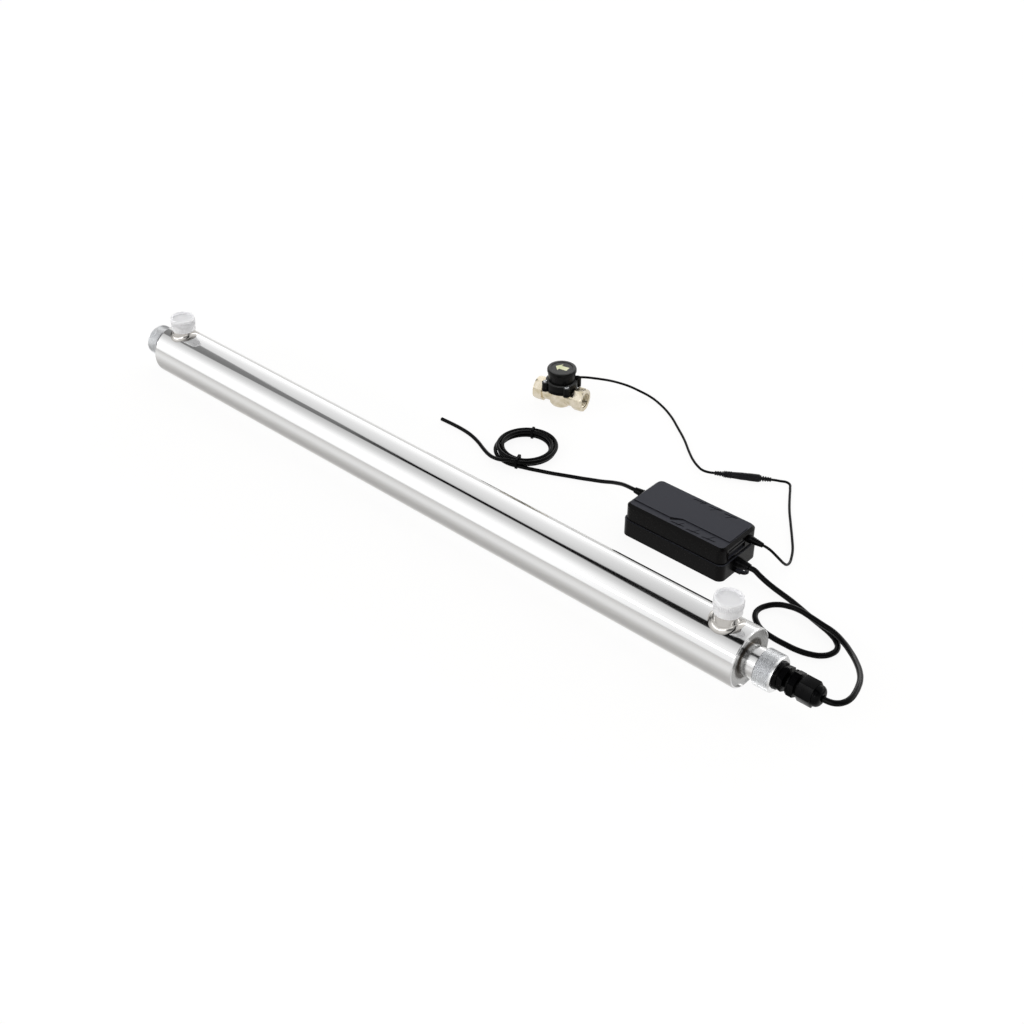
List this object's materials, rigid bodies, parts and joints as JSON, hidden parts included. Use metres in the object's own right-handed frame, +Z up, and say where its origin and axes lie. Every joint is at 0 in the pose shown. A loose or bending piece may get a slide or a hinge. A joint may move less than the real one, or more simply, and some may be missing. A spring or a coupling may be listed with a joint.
{
  "type": "ultraviolet water clarifier",
  "caption": "Stainless tube water clarifier: ultraviolet lamp in a quartz sleeve, capped ports on top, gland nuts at the ends, separate ballast, flow switch and cords.",
  "frame": {"origin": "on the surface the chamber lies on, under the middle of its tube", "axes": "+X along the tube towards the lamp end, +Y towards the ballast, +Z up through the ports"},
  "size_m": [1.0093, 0.3816, 0.0909],
  "materials": {
    "stainless": "polished",
    "cap_polythene": "translucent satin",
    "nut_aluminium": "knurled satin",
    "seal_rubber": "matt",
    "white_plastic": "satin",
    "quartz": "clear",
    "ceramic": "glazed white",
    "pin_brass": "bright",
    "black_nylon": "satin",
    "ballast_plastic": "fine grain",
    "board": "satin",
    "iron": "matt",
    "can_aluminium": "sleeved",
    "screw_steel": "bright",
    "pale_brass": "satin",
    "cord_plastic": "satin"
  },
  "bodies": {
    "chamber": {"chamber_tube": "stainless", "far_end_plate": "stainless", "near_end_plate": "stainless", "inlet_port": "stainless", "outlet_port": "stainless", "far_nipple": "stainless", "near_nipple": "stainless", "far_seal_ring": "seal_rubber", "near_seal_ring": "seal_rubber", "gland_seal": "seal_rubber", "flow_gasket": "seal_rubber", "far_thrust_ring": "white_plastic", "near_thrust_ring": "white_plastic", "quartz_sleeve": "quartz", "lamp_glass": "quartz", "reed_switch": "quartz", "far_lamp_base": "ceramic", "near_lamp_base": "ceramic", "lamp_socket": "ceramic", "lamp_pins": "pin_brass", "lamp_plug": "black_nylon", "gland_lock_nut": "black_nylon", "gland_washer": "black_nylon", "gland_body": "black_nylon", "gland_dome_nut": "black_nylon", "flow_clamp_ring": "black_nylon", "flow_cover": "black_nylon", "ballast_base": "ballast_plastic", "ballast_cover": "ballast_plastic", "ballast_end_panel": "ballast_plastic", "ballast_board": "board", "ballast_choke": "iron", "ballast_capacitors": "can_aluminium", "ballast_screws": "screw_steel", "flow_screws": "screw_steel", "paddle_pin": "screw_steel", "flow_body": "pale_brass", "mains_boot": "cord_plastic", "lamp_boot": "cord_plastic", "sensor_boot": "cord_plastic", "flow_cord_boot": "cord_plastic", "lamp_cord": "cord_plastic", "mains_cord": "cord_plastic", "mains_coil": "cord_plastic", "mains_cord_end": "cord_plastic", "coil_ties": "cord_plastic", "sensor_cord": "cord_plastic", "sensor_plug": "cord_plastic", "sensor_socket": "cord_plastic", "sensor_pigtail": "cord_plastic"},
    "inlet_cap": {"inlet_cap": "cap_polythene"},
    "outlet_cap": {"outlet_cap": "cap_polythene"},
    "far_washer": {"far_slip_washer": "white_plastic"},
    "far_nut": {"far_gland_nut": "nut_aluminium"},
    "near_washer": {"near_slip_washer": "white_plastic"},
    "near_nut": {"near_gland_nut": "nut_aluminium"},
    "paddle": {"flow_paddle": "white_plastic", "paddle_magnet": "iron"}
  },
  "joints": [
    {"name": "inlet_cap_slide", "type": "slide", "parent": "chamber", "child": "inlet_cap", "axis": [0, 0, 1], "range_m": [0, 0.04]},
    {"name": "outlet_cap_slide", "type": "slide", "parent": "chamber", "child": "outlet_cap", "axis": [0, 0, 1], "range_m": [-0.0055, 0.04]},
    {"name": "far_nut_travel", "type": "slide", "parent": "chamber", "child": "far_washer", "axis": [-1, 0, 0], "range_m": [0, 0.012]},
    {"name": "far_nut_turn", "type": "hinge", "parent": "far_washer", "child": "far_nut", "pos_m": [-0.461, 0, 0.03175], "axis": [-1, 0, 0], "range_deg": [0, 1870]},
    {"name": "near_nut_travel", "type": "slide", "parent": "chamber", "child": "near_washer", "axis": [1, 0, 0], "range_m": [0, 0.012]},
    {"name": "near_nut_turn", "type": "hinge", "parent": "near_washer", "child": "near_nut", "pos_m": [0.461, 0, 0.03175], "axis": [1, 0, 0], "range_deg": [0, 1870]},
    {"name": "paddle_swing", "type": "hinge", "parent": "chamber", "child": "paddle", "pos_m": [-0.021, 0.2665, 0.022], "axis": [-0.2079, 0.9781, 0], "range_deg": [0, 35]}
  ],
  "couplings": [
    {"joint": "far_nut_travel", "follows": "far_nut_turn", "m_per_rad": 0.00036749},
    {"joint": "near_nut_travel", "follows": "near_nut_turn", "m_per_rad": 0.00036749}
  ]
}
